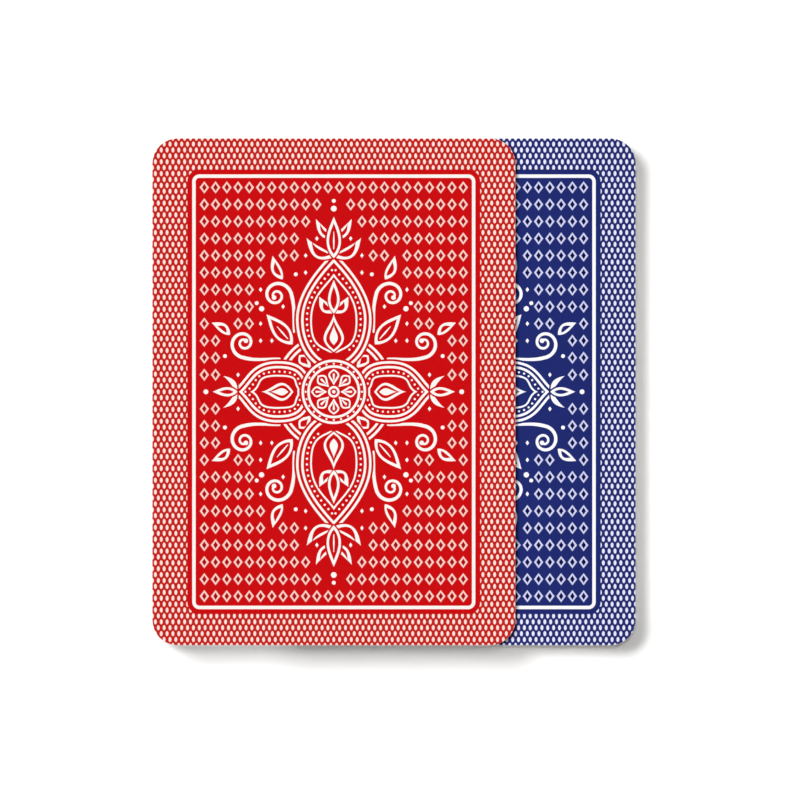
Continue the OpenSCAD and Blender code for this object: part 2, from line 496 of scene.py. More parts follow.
    # where such a cell is clear of the drawing, a small lozenge keeps the grid going
    bare = cells[plain[1:-1, 1:-1].ravel()]
    near = painted([(p, 1) for p, _ in drawn], (bare[:, None] + disc((0, 0), 0.5, 8)).reshape(-1, 2)).reshape(len(bare), -1).any(1)
    ground += [(c + P((0, -0.42), (0.3, 0), (0, 0.42), (-0.3, 0)), WHITE) for c in bare[~near]]
    return ground + drawn


# ------------------------------------------------------------------ the fronts

PAPER, BLACK, RED, GOLD, BLUE = 0, 1, 2, 3, 4
RANKS = "ace two three four five six seven eight nine ten jack queen king".split()
MARKS = dict(zip(RANKS, "A 2 3 4 5 6 7 8 9 10 J Q K".split()))
SUIT_TONE = {"hearts": RED, "diamonds": RED, "spades": BLACK, "clubs": BLACK}


def mirrored(right):
    """A closed outline from its right half, given from one end on the axis to the other."""
    return np.concatenate([right, (right * [-1, 1])[::-1][1:-1]])


def suit(name):
    """Outlines of a suit sign about one unit high."""
    if name == "hearts":
        return [mirrored(join(bez((0, -0.55), (0.12, -0.28), (0.5, -0.02), (0.5, 0.22), 12), bez((0.5, 0.22), (0.5, 0.42), (0.36, 0.52), (0.25, 0.52), 9), bez((0.25, 0.52), (0.12, 0.52), (0.02, 0.42), (0, 0.27), 9)))]
    if name == "diamonds":
        return [mirrored(join(bez((0, -0.6), (0.12, -0.36), (0.27, -0.14), (0.42, 0), 8), bez((0.42, 0), (0.27, 0.14), (0.12, 0.36), (0, 0.6), 8)))]
    stem = mirrored(join(P((0, -0.56), (0.22, -0.56)), bez((0.22, -0.56), (0.1, -0.5), (0.03, -0.36), (0.03, -0.1), 8), P((0.03, -0.1), (0, -0.1))))
    if name == "spades":
        return [mirrored(join(bez((0, 0.56), (0.1, 0.3), (0.5, 0.08), (0.5, -0.16), 12), bez((0.5, -0.16), (0.5, -0.36), (0.36, -0.44), (0.25, -0.44), 9), bez((0.25, -0.44), (0.13, -0.44), (0.05, -0.36), (0, -0.25), 9))), stem]
    return [disc((0, 0.27), 0.245, 30), disc((0.27, -0.1), 0.245, 30), disc((-0.27, -0.1), 0.245, 30), disc((0, 0.03), 0.14, 20), stem]


def pip(name, c, size, up=True, tone=None):
    s = size if up else -size
    return [(p * s + np.array(c, float), SUIT_TONE[name] if tone is None else tone) for p in suit(name)]


def glyph(ch):
    """Pen paths of an index sign in a box one unit high, from -0.5 to 0.5 across."""
    six = [bez((0.36, 0.93), (0.1, 1.08), (-0.46, 0.95), (-0.46, 0.33), 14), oval((0, 0.31), 0.46, 0.31, 26)]
    return {
        "A": [P((-0.5, 0), (0, 1)), P((0, 1), (0.5, 0)), P((-0.32, 0.32), (0.32, 0.32))],
        "2": [join(bez((-0.45, 0.74), (-0.45, 1.08), (0.45, 1.08), (0.45, 0.72), 14), bez((0.45, 0.72), (0.45, 0.45), (-0.3, 0.3), (-0.47, 0), 12)), P((-0.47, 0), (0.47, 0))],
        "3": [join(bez((-0.42, 0.86), (-0.2, 1.06), (0.44, 1.04), (0.42, 0.76), 12), bez((0.42, 0.76), (0.42, 0.6), (0.2, 0.54), (-0.08, 0.54), 8)), join(bez((-0.08, 0.54), (0.3, 0.54), (0.48, 0.44), (0.48, 0.27), 9), bez((0.48, 0.27), (0.48, -0.06), (-0.3, -0.08), (-0.47, 0.15), 12))],
        "4": [P((0.24, 0), (0.24, 1)), P((0.24, 1), (-0.5, 0.3)), P((-0.5, 0.3), (0.5, 0.3))],
        "5": [P((0.4, 1), (-0.34, 1)), P((-0.34, 1), (-0.4, 0.55)), join(bez((-0.4, 0.55), (-0.1, 0.72), (0.48, 0.68), (0.48, 0.33), 12), bez((0.48, 0.33), (0.48, -0.04), (-0.25, -0.1), (-0.47, 0.14), 12))],
        "6": six,
        "7": [P((-0.47, 1), (0.47, 1)), bez((0.47, 1), (0.12, 0.62), (-0.1, 0.34), (-0.14, 0), 10)],
        "8": [oval((0, 0.75), 0.38, 0.25, 24), oval((0, 0.26), 0.46, 0.27, 26)],
        "9": [P(0, 1) - p for p in six],
        "10": [P((-0.62, 0.82), (-0.42, 1)), P((-0.42, 1), (-0.42, 0)), oval((0.24, 0.5), 0.36, 0.5, 28)],
        "J": [join(P((0.3, 1), (0.3, 0.3)), bez((0.3, 0.3), (0.3, -0.1), (-0.4, -0.1), (-0.42, 0.24), 12)), P((0.02, 1), (0.5, 1))],
        "Q": [oval((0, 0.5), 0.47, 0.5, 30), P((0.1, 0.26), (0.5, -0.05))],
        "K": [P((-0.4, 0), (-0.4, 1)), P((0.46, 1), (-0.4, 0.36)), P((-0.14, 0.56), (0.48, 0))],
    }[ch]


def lettered(ch, c, w, h, pen, tone):
    out = []
    for path in glyph(ch):
        p = path * [w, h] + np.array(c, float)
        closed = len(p) > 20 and np.linalg.norm(p[0] - p[-1]) < 0.35 * h
        if len(p) == 2:
            p = np.stack([p[0], p.mean(0), p[1]])
        if closed:
            p = np.concatenate([p, p[:2]])
        out.append((stroke(p, pen), tone))
    return out


def star(c, r, points=5, tone=BLACK, deep=0.42):
    a = math.pi / 2 + np.arange(2 * points) * math.pi / points
    rr = np.where(np.arange(2 * points) % 2 == 0, r, r * deep)
    return [(np.stack([c[0] + rr * np.cos(a), c[1] + rr * np.sin(a)], 1), tone)]


def index(rank, name):
    half = lettered(MARKS[rank], (-27.0, 33.4), 3.9, 6.2, 0.92, SUIT_TONE[name]) + pip(name, (-27.0, 29.4), 4.4)
    return half + turned(half)


def spots(rank):
    """Where the suit signs of a number card sit, and whether each is upright."""
    X, Y = 12.4, 29.0
    n = RANKS.index(rank) + 1
    at = []
    if n in (2, 3):
        at += [(0, Y), (0, -Y)]
    if n in (4, 5, 6, 7, 8):
        at += [(-X, Y), (X, Y), (-X, -Y), (X, -Y)]
    if n in (6, 7, 8):
        at += [(-X, 0), (X, 0)]
    if n in (9, 10):
        at += [(sx * X, sy * y) for sx in (-1, 1) for y in (Y, Y / 3) for sy in (1, -1)]
    if n in (1, 3, 5, 9):
        at += [(0, 0)]
    if n == 7:
        at += [(0, Y / 2)]
    if n == 8:
        at += [(0, Y / 2), (0, -Y / 2)]
    if n == 10:
        at += [(0, Y * 2 / 3), (0, -Y * 2 / 3)]
    return [(p, p[1] >= 0) for p in at]


def outlined(lst, poly, tone, line=0.32, ink=BLACK):
    lst.append((grow(poly, line), ink))
    lst.append((poly, tone))


def quad(x0, y0, x1, y1):
    return P((x0, y0), (x1, y0), (x1, y1), (x0, y1))


def crown(points, c, w, h):
    """A plain crown on a jewelled band, with a ball on every point."""
    out = []
    x = np.linspace(-w / 2, w / 2, points)
    rim = [(-w / 2 + 0.3, 0)]
    for i in range(points):
        rim.append((x[i] * 1.12, h * (1.0 if i % 2 == 0 else 0.86)))
        if i < points - 1:
            rim.append(((x[i] + x[i + 1]) / 2 * 1.04, h * 0.4))
    rim.append((w / 2 - 0.3, 0))
    outlined(out, np.array(rim) + np.array(c), GOLD)
    for i in range(points):
        y = c[1] + h * (1.0 if i % 2 == 0 else 0.86)
        outlined(out, disc((c[0] + x[i] * 1.12, y + 0.75), 0.85, 18), BLUE if i % 2 else RED, 0.25)
        if i < points - 1:
            out.append((drop((c[0] + (x[i] + x[i + 1]) / 2 * 1.02, c[1] + h * 0.34), (c[0] + (x[i] + x[i + 1]) / 2, c[1] + 0.5), 0.4, 12), BLACK))
    outlined(out, quad(c[0] - w / 2 - 0.3, c[1] - 2.3, c[0] + w / 2 + 0.3, c[1]), RED)
    n = 5 if w > 11 else 3
    for i in range(n):
        p = P(c[0] + (i - (n - 1) / 2) * w / n, c[1] - 1.15)
        outlined(out, P((0, 0.75), (0.95, 0), (0, -0.75), (-0.95, 0)) + p, GOLD if i % 2 == 0 else BLUE, 0.14)
    return out


def court(rank, name):
    """A court card without figures: crown and royal mantle, the same both ways up, in a double frame."""
    half = []
    cloth, second = (RED, BLUE) if SUIT_TONE[name] == RED else (BLUE, RED)

    def line(path, w, tone=BLACK):
        half.append((stroke(np.array(path, float), w), tone))

    # what is carried on the right: a sword, a flower or a spear
    p0, p1 = P(5.4, 11.0), P(15.6, 31.6)
    u = (p1 - p0) / np.linalg.norm(p1 - p0)
    v = P(-u[1], u[0])
    if rank == "king":
        base = p0 + u * 9.6
        outlined(half, np.stack([base - v * 1.15, p1 - u * 2.4 - v * 0.95, p1, p1 - u * 2.4 + v * 0.95, base + v * 1.15]), PAPER)
        line([base, base + u * 5, p1 - u * 3], [(0, 0.3), (1, 0.16)])
        outlined(half, stroke(np.stack([base - v * 3.4 - u * 0.5, base, base + v * 3.4 - u * 0.5]), 1.3), GOLD, 0.28)
        for s in (-1, 1):
            outlined(half, disc(base + v * s * 3.5 - u * 0.5, 0.95, 18), GOLD, 0.28)
        outlined(half, stroke(np.stack([p0, p0 + u * 4, base - u * 0.7]), 1.5), second, 0.28)
    elif rank == "queen":
        c = P(14.6, 28.4)
        stem = bez(p0, p0 + P(3.2, 8.0), c - P(1.2, 5.0), c, 16)
        half.append((stroke(stem, 1.15), BLACK))
        half.append((stroke(stem, 0.6), GOLD))
        outlined(half, leaf(stem[8], stem[8] + P(5.4, 1.2), 1.25, 0.5), second, 0.28)
        outlined(half, leaf(stem[11], stem[11] + P(-3.6, 3.0), 1.1, 0.4), second, 0.28)
        for k in range(6):
            a = math.radians(90 + 60 * k)
            outlined(half, disc(c + 2.15 * P(math.cos(a), math.sin(a)), 1.45, 22), cloth, 0.28)
        outlined(half, disc(c, 1.5, 22), GOLD, 0.28)
        for k in range(6):
            a = math.radians(60 * k)
            half.append((disc(c + 0.8 * P(math.cos(a), math.sin(a)), 0.2, 8), BLACK))
    else:
        tip = p0 + u * 15.2
        outlined(half, stroke(np.stack([p0, p0 + u * 8, tip]), 1.0), GOLD, 0.28)
        for s in (-1, 1):
            outlined(half, drop(tip + u * 0.4, tip + v * s * 2.3 - u * 2.8, 0.85), second, 0.26)
        outlined(half, leaf(tip - u * 0.3, p1 + u * 1.0, 1.9, 0, 16, 0.75), PAPER, 0.34)
        line([tip + u * 0.5, tip + u * 4, p1 - u * 1.2], [(0, 0.34), (1, 0.14)])
    # the mantle: cloth with a bordered hem, open in the middle on its lining
    right = bez((19.6, 1.6), (14.2, 5.4), (17.0, 12.4), (6.0, 19.4), 24)
    mantle = mirrored(join(P((0, 1.6), (19.6, 1.6)), right, P((6.0, 19.4), (0, 19.4))))
    outlined(half, mantle, cloth, 0.36)
    for j in range(7):
        for i in range(-6, 7):
            c = P(i * 3.0 + (1.5 if j % 2 else 0), 3.2 + j * 2.3)
            if covers(grow(mantle, -2.7), c[None])[0]:
                half.append((P((0, 1.0), (0.72, 0), (0, -1.0), (-0.72, 0)) + c, GOLD))
    for sx in (-1, 1):
        t = np.gradient(right, axis=0)
        hem = (right + np.stack([-t[:, 1], t[:, 0]], 1) / np.linalg.norm(t, axis=1)[:, None] * 0.75) * [sx, 1]
        half.append((stroke(hem, 1.6, False, False), BLACK))
        half.append((stroke(hem, 1.05, False, False), GOLD))
        s = along(hem)
        for t in np.linspace(0.06, 0.94, 11):
            half.append((disc((np.interp(t, s, hem[:, 0]), np.interp(t, s, hem[:, 1])), 0.26, 10), BLACK))
    lining = mirrored(join(P((0, 1.6), (10.4, 1.6)), bez((10.4, 1.6), (8.6, 7.4), (5.4, 12.6), (0, 18.4), 18)))
    outlined(half, lining, GOLD, 0.3)
    inner = grow(lining, -0.75)
    outlined(half, inner, PAPER, 0.22)
    for j in range(5):
        for i in range(-4, 5):
            c = P(i * 2.5 + (1.25 if j % 2 else 0), 3.4 + j * 2.5)
            if covers(grow(inner, -0.9), c[None])[0] and np.hypot(c[0] / 3.9, (c[1] - 6.6) / 4.8) > 1.05:
                for dx in (-0.34, 0, 0.34):
                    half.append((drop(c + P(0, 0.75), c + P(dx * 1.3, -0.62), 0.2, 10), BLACK))
    # a shield with the suit hangs on it
    shield = mirrored(join(P((0, 11.4), (3.3, 10.9)), bez((3.3, 10.9), (3.5, 6.4), (2.4, 3.8), (0, 2.5), 14)))
    outlined(half, shield, GOLD, 0.34)
    outlined(half, grow(shield, -0.6), PAPER, 0.2)
    half += pip(name, (0, 7.2), 4.6)
    # clasp and crown
    if rank == "king":
        half += crown(5, (0, 22.0), 13.4, 5.0)
    elif rank == "queen":
        half += crown(3, (0, 22.0), 10.6, 5.6)
    else:
        cap = mirrored(join(P((0, 22.0), (6.2, 22.0)), bez((6.2, 22.0), (8.2, 25.4), (5.2, 28.4), (0, 28.6), 14)))
        outlined(half, cap, second)
        for k in (-1, 0, 1):
            line([P(k * 3.0, 22.4), P(k * 3.3, 25.0), P(k * 2.2, 27.6)], 0.26)
        feather = leaf((-4.4, 22.4), (-10.6, 29.4), 1.5, 1.3)
        outlined(half, feather, GOLD, 0.28)
        line(bez((-4.4, 22.4), (-7.0, 23.2), (-9.4, 26.0), (-10.2, 28.6), 10), 0.22)
        outlined(half, quad(-6.6, 19.7, 6.6, 22.0), GOLD)
        for k in range(5):
            outlined(half, disc(((k - 2) * 2.5, 20.85), 0.62, 14), RED if k % 2 == 0 else BLUE, 0.16)
    half += pip(name, (-15.6, 29.4), 8.4)
    out = []
    for d, tone in ((0.0, BLACK), (-0.28, PAPER), (-0.95, BLACK), (-1.2, PAPER)):
        out.append((rounded(21.6 + d, 35.6 + d, 0.6, 4), tone))
    out += half + turned(half)
    band = quad(-20.1, -1.6, 20.1, 1.6)
    out += [(band, BLACK), (grow(band, -0.3), GOLD)]
    for i in range(-8, 9):
        out.append((P((0, 0.95), (0.8, 0), (0, -0.95), (-0.8, 0)) + P(i * 2.34, 0), cloth if i % 2 == 0 else BLACK))
    return out


def joker(coloured):
    """A joker without figures: two bell caps, foot to foot, and stars."""
    a, b = (RED, BLUE) if coloured else (BLACK, PAPER)
    g = GOLD if coloured else PAPER
    half = []

    def bell(c, r, up):
        outlined(half, disc(c, r, 26), g, 0.34)
        c = np.array(c, float)
        for y in (0.28, -0.28):
            half.append((stroke([c + P(-r * 0.94, y * up), c + P(0, y * up - 0.1), c + P(r * 0.94, y * up)], 0.2), BLACK))
        half.append((disc(c - P(0, 0.95 * up), 0.3, 12), BLACK))

    for k in range(7):
        x = (k - 3) * 3.0
        tip = P(x * 1.62, 4.6 + 0.042 * x * x)
        outlined(half, np.stack([P(x - 1.75, 10.4), tip, P(x + 1.75, 10.4)]), (a, g)[k % 2])
        outlined(half, disc(tip, 0.85, 18), g, 0.28)
    for sx, tone in ((-1, a), (1, b)):
        horn = bez((sx * 4.0, 11.4), (sx * 5.6, 28.0), (sx * 18.4, 31.5), (sx * 18.8, 17.0), 30)
        shape = [(0, 11.0), (0.3, 8.6), (0.72, 4.0), (1, 1.0)]
        half.append((stroke(horn, [(s, w + 0.66) for s, w in shape], False), BLACK))
        half.append((stroke(horn, shape, False), tone))
        s = along(horn)
        for t in (0.3, 0.46, 0.61, 0.75):
            at = (np.interp(t, s, horn[:, 0]), np.interp(t, s, horn[:, 1]))
            half += star(at, 1.62 - t, 4, g if tone != g else a, 0.4)
        bell((sx * 18.8, 15.0), 1.9, 1)
    mid = mirrored(join(P((0, 11.6), (5.6, 11.6)), bez((5.6, 11.6), (5.8, 20.0), (2.4, 26.5), (0, 33.0), 18)))
    outlined(half, mid, g, 0.34)
    for j in range(7):
        for i in range(-2, 3):
            c = P(i * 2.5 + (1.25 if j % 2 else 0), 13.9 + j * 2.4)
            if covers(grow(mid, -1.25), c[None])[0]:
                half.append((P((0, 1.1), (1.0, 0), (0, -1.1), (-1.0, 0)) + c, a if j % 2 else b if coloured else BLACK))
    bell((0, 34.2), 1.9, -1)
    band = quad(-9.9, 10.2, 9.9, 12.8)
    outlined(half, band, a, 0.34)
    for i in range(-3, 4):
        half.append((P((0, 0.95), (1.05, 0), (0, -0.95), (-1.05, 0)) + P(i * 2.7, 11.5), g if coloured else PAPER))
    mark = star((-27.0, 36.4), 3.1, 5, RED if coloured else BLACK)
    for k in range(3):
        mark.append((P((0, 1.1), (0.8, 0), (0, -1.1), (-0.8, 0)) + P(-27.0, 31.0 - 3.1 * k), RED if coloured else BLACK))
    one = half + mark
    row = []
    for i in range(-4, 5):
        row += star((i * 4.6, 0), 1.5 if i % 2 == 0 else 0.9, 4, a if i % 2 == 0 else (b if coloured else BLACK), 0.4)
    return one + turned(one) + row


def front(rank, name):
    if rank.startswith("joker"):
        return joker(rank == "joker_1")
    out = index(rank, name)
    if rank in ("jack", "queen", "king"):
        return out + court(rank, name)
    size = 22.0 if rank == "ace" else 10.6
    for c, up in spots(rank):
        out += pip(name, c, size, up)
    if rank == "ace" and name == "spades":
        out += pip(name, (0, -0.2), 15.0, tone=PAPER) + pip(name, (0, -0.3), 12.6)
    return out


# ------------------------------------------------------------------ materials


class Val:
    """A value inside a shader, so that shader maths can be written as maths."""

    def __init__(self, tree, out):
        self.tree, self.out = tree, out

    def do(self, op, *args):
        n = self.tree.nodes.new("ShaderNodeMath")
        n.operation = op
        for i, a in enumerate(args):
            if isinstance(a, Val):
                self.tree.links.new(a.out, n.inputs[i])
            else:
                n.inputs[i].default_value = a
        return Val(self.tree, n.outputs[0])

    def __add__(self, b): return self.do("ADD", self, b)
    def __radd__(self, b): return self.do("ADD", b, self)
    def __sub__(self, b): return self.do("SUBTRACT", self, b)
    def __rsub__(self, b): return self.do("SUBTRACT", b, self)
    def __mul__(self, b): return self.do("MULTIPLY", self, b)
    def __rmul__(self, b): return self.do("MULTIPLY", b, self)
    def __truediv__(self, b): return self.do("DIVIDE", self, b)
    def __lt__(self, b): return self.do("LESS_THAN", self, b)
    def __gt__(self, b): return self.do("GREATER_THAN", self, b)
    def abs(self): return self.do("ABSOLUTE", self)
    def sin(self): return self.do("SINE", self)
    def sqrt(self): return self.do("SQRT", self)
    def max(self, b): return self.do("MAXIMUM", self, b)
    def min(self, b): return self.do("MINIMUM", self, b)
    def off_grid(self, pitch, shift=0.0):
        """Distance to the nearest line of a grid, signed."""
        u = self * (1.0 / pitch) + shift
        return (u - u.do("ROUND", u)) * pitch

    def soft(self, width):
        """1 where the value is above zero, 0 below, with an edge of that width."""
        n = self.tree.nodes.new("ShaderNodeMapRange")
        n.clamp = True
        self.tree.links.new(self.out, n.inputs["Value"])
        n.inputs["From Min"].default_value, n.inputs["From Max"].default_value = -width / 2, width / 2
        return Val(self.tree, n.outputs["Result"])


def srgb(r, g, b):
    def lin(c):
        c /= 255.0
        return c / 12.92 if c <= 0.04045 else ((c + 0.055) / 1.055) ** 2.4
    return np.array([lin(r), lin(g), lin(b)])


class Sheet:
    """A card-stock material with its coordinates in millimetres ready to use."""

    def __init__(self, name, roughness=0.62, specular=0.03):
        self.mat = bpy.data.materials.new(name)
        self.mat.use_nodes = True
        self.tree = self.mat.node_tree
        self.tree.nodes.clear()
        self.bsdf = self.tree.nodes.new("ShaderNodeBsdfPrincipled")
        self.bsdf.inputs["Specular IOR Level"].default_value = specular
        out = self.tree.nodes.new("ShaderNodeOutputMaterial")
        self.tree.links.new(self.bsdf.outputs[0], out.inputs[0])
        uv = self.tree.nodes.new("ShaderNodeUVMap")
        uv.uv_map = "card"
        sep = self.tree.nodes.new("ShaderNodeSeparateXYZ")
        self.tree.links.new(uv.outputs[0], sep.inputs[0])
        self.x = (Val(self.tree, sep.outputs[0]) - 0.5) * 100.0
        self.y = (Val(self.tree, sep.outputs[1]) - 0.5) * 100.0
        own = self.tree.nodes.new("ShaderNodeAttribute")
        own.attribute_name = "print_run"
        self.own = Val(self.tree, own.outputs["Fac"])
        self.roughness = roughness

    def noise(self, scale, detail=2.0, rough=0.5, stretch=(1, 1)):
        """Noise about 0, with features 1/scale millimetres across, different on every card."""
        pos = self.tree.nodes.new("ShaderNodeCombineXYZ")
        for i, v in enumerate((self.x * (scale * stretch[0]), self.y * (scale * stretch[1]), self.own * 40.0)):
            self.tree.links.new(v.out, pos.inputs[i])
        n = self.tree.nodes.new("ShaderNodeTexNoise")
        n.inputs["Scale"].default_value = 1.0
        n.inputs["Detail"].default_value = detail
        n.inputs["Roughness"].default_value = rough
        self.tree.links.new(pos.outputs[0], n.inputs["Vector"])
        return Val(self.tree, n.outputs["Fac"]) - 0.5

    def mix(self, a, b, fac):
        n = self.tree.nodes.new("ShaderNodeMix")
        n.data_type = "RGBA"
        self.tree.links.new(fac.out, n.inputs["Factor"])
        for socket, c in ((n.inputs[6], a), (n.inputs[7], b)):
            if isinstance(c, Val):
                self.tree.links.new(c.out, socket)
            else:
                socket.default_value = (*c, 1.0)
        return Val(self.tree, n.outputs[2])

    def scaled(self, colour, gain):
        """A colour times a value near 1."""
        n = self.tree.nodes.new("ShaderNodeVectorMath")
        n.operation = "SCALE"
        if isinstance(colour, Val):
            self.tree.links.new(colour.out, n.inputs[0])
        else:
            n.inputs[0].default_value = tuple(colour)
        self.tree.links.new(gain.out, n.inputs["Scale"])
        return Val(self.tree, n.outputs[0])

    def done(self, colour, rough=None, height=None, distance=2.0e-6):
        self.tree.links.new(colour.out, self.bsdf.inputs["Base Color"])
        if rough is None:
            self.bsdf.inputs["Roughness"].default_value = self.roughness
        else:
            self.tree.links.new((rough + self.roughness).out, self.bsdf.inputs["Roughness"])
        if height is not None:
            b = self.tree.nodes.new("ShaderNodeBump")
            b.inputs["Strength"].default_value = 1.0
            b.inputs["Distance"].default_value = distance
            self.tree.links.new(height.out, b.inputs["Height"])
            self.tree.links.new(b.outputs[0], self.bsdf.inputs["Normal"])
        return self.mat

    def linen(self):
        """The fine cushion finish that is rolled into coated card, with the grain of the coating."""
        w = 2 * math.pi / 0.46
        a, b = self.x + self.y, self.x - self.y
        return (a * (w * 0.7071)).sin() * (b * (w * 0.7071)).sin() * 0.6 + self.noise(9.0, 1.0) * 0.8


def back_material(name, ink, rim_ink, deep_ink, white, lattice_white, diamond_white, part):
    """Printed back. The ground carries the lattice border, the frame line and the small diamonds."""
    s = Sheet(name)
    x, y = s.x, s.y
    wave = s.noise(0.045, 1.0)
    grain = s.noise(5.0, 2.0)
    ink_gain = 1.0 + wave * 0.05 + grain * 0.07 + s.own * 0.012
    white_gain = 1.0 + wave * 0.012 + grain * 0.02 + s.own * 0.006
    if part == WHITE:
        colour = s.scaled(white, white_gain)
    elif part == INK:
        colour = s.scaled(ink, ink_gain)
    else:
        # distance to the frame line, a rounded rectangle
        hx, hy, r = 24.28, 37.44, 0.95
        qx, qy = x.abs() - (hx - r), y.abs() - (hy - r)
        ox, oy = qx.max(0.0), qy.max(0.0)
        d = (ox * ox + oy * oy).sqrt() + qx.max(qy).min(0.0) - r
        rough_edge = s.noise(3.0, 1.0) * 0.05
        # lattice of upright ovals in staggered rows
        def ovals(shift):
            fx, fy = x.off_grid(1.0155, shift) / 0.25, y.off_grid(2.048, shift) / 0.435
            return 1.0 - (fx * fx + fy * fy)
        lattice = (ovals(0.0).max(ovals(0.5)) + rough_edge * 2.0).soft(0.22) * (d - 1.15).soft(0.04)
        line = (0.297 - d.abs() + rough_edge * 0.3).soft(0.05)
        # hollow diamonds in straight rows
        dx, dy = x.off_grid(COL, 0.5).abs(), y.off_grid(ROW).abs()
        outer = 1.0 - dx / 0.81 - dy / 1.055
        inner = dx / 0.408 + dy / 0.635 - 1.0
        field = (d < -0.4) * (x.abs() < 23.4)
        diamonds = (outer + rough_edge).soft(0.08) * (inner + rough_edge).soft(0.14) * field
        # the finer a white shape is, the more of the ink beside it shows in it
        inks = s.mix(s.mix(ink, rim_ink, (d - 1.15).soft(0.3)), deep_ink, (-0.15 - inner).soft(0.5) * field)
        colour = s.scaled(inks, ink_gain)
        for tint, mask in ((lattice_white, lattice * 0.95), (diamond_white, diamonds), (white, line)):
            colour = s.mix(colour, s.scaled(tint, white_gain), mask)
    return s.done(colour, s.noise(1.2, 2.0) * 0.10, s.linen())


def front_material(name, colour, gain=0.06):
    s = Sheet(name, roughness=0.55)
    value = 1.0 + s.noise(0.05, 1.0) * gain * 0.6 + s.noise(5.0, 2.0) * gain + s.own * 0.006
    return s.done(s.scaled(colour, value), s.noise(1.2, 2.0) * 0.10, s.linen())


def edge_material(name, paper, core):
    """Cut edge of the card: two layers of paper, the glue line between them, and fibres drawn out by the knife."""
    s = Sheet(name, roughness=0.85, specular=0.1)
    t = s.tree
    pos = t.nodes.new("ShaderNodeTexCoord")
    sep = t.nodes.new("ShaderNodeSeparateXYZ")
    t.links.new(pos.outputs["Object"], sep.inputs[0])
    x, y, z = (Val(t, o) * 1000.0 for o in sep.outputs[:3])

    def fibres(scale, across):
        c = t.nodes.new("ShaderNodeCombineXYZ")
        for i, v in enumerate((x * scale, y * scale, z * across + s.own * 30.0)):
            t.links.new(v.out, c.inputs[i])
        n = t.nodes.new("ShaderNodeTexNoise")
        n.inputs["Scale"].default_value = 1.0
        n.inputs["Detail"].default_value = 3.0
        t.links.new(c.outputs[0], n.inputs["Vector"])
        return Val(t, n.outputs["Fac"]) - 0.5

    long_, short = fibres(0.5, 24.0), fibres(4.0, 30.0)
    glue = (0.03 - (z + long_ * 0.05).abs()).soft(0.05)
    tone = s.mix(paper, core, glue * 0.75)
    gain = 1.0 + long_ * 0.16 + short * 0.22 + s.own * 0.09
    return s.done(s.scaled(tone, gain), short * 0.2, short * 1.0, 6.0e-6)


LIGHT, GLOSS = 1.17, 0.0035     # what the lights give a level card, and what its own gloss adds


def seen(r, g, b):
    """The surface colour that looks like this one under these lights."""
    return np.maximum(srgb(r, g, b) - GLOSS, 0.0006) / LIGHT


BACKS = {      # ink, ink of the border, ink inside the diamonds, white, white in the lattice, white in the diamonds
    "red": (seen(203, 12, 17), seen(196, 32, 29), seen(160, 6, 8), seen(255, 247, 243), seen(255, 230, 222), seen(253, 209, 200)),
    "blue": (seen(32, 42, 109), seen(41, 43, 112), seen(15, 14, 68), seen(252, 251, 255), seen(232, 236, 255), seen(206, 209, 240)),
}
looks = {
    pack: [back_material(f"{pack}_back_{n}", *BACKS[pack], p) for n, p in (("ground", GROUND), ("ink", INK), ("white", WHITE))]
    for pack in BACKS
}
edges = {
    "red": edge_material("red_pack_edge", srgb(243, 237, 230), srgb(214, 198, 190)),
    "blue": edge_material("blue_pack_edge", srgb(243, 239, 234), srgb(202, 201, 206)),
}
faces = [
    front_material("front_paper", seen(247, 245, 240), 0.02),
    front_material("front_black", seen(30, 28, 31)),
    front_material("front_red", seen(204, 20, 28)),
    front_material("front_gold", seen(224, 172, 58)),
    front_material("front_blue", seen(32, 56, 140)),
]

# ------------------------------------------------------------------ cards

SUITS_UP = ("spades", "diamonds", "clubs", "hearts")    # from the bottom of a pack
RIM = rounded(CARD_W / 2, CARD_H / 2, CORNER)
FACE_RIM = rounded(CARD_W / 2 - ROUND, CARD_H / 2 - ROUND, CORNER - ROUND)
BACK = engraved(medallion(), FACE_RIM)


def nudged(v, rim, by):
    """A printed face moved a little on its card: all its points but those of the rim."""
    out = v + by
    out[rim] = v[rim]
    return out


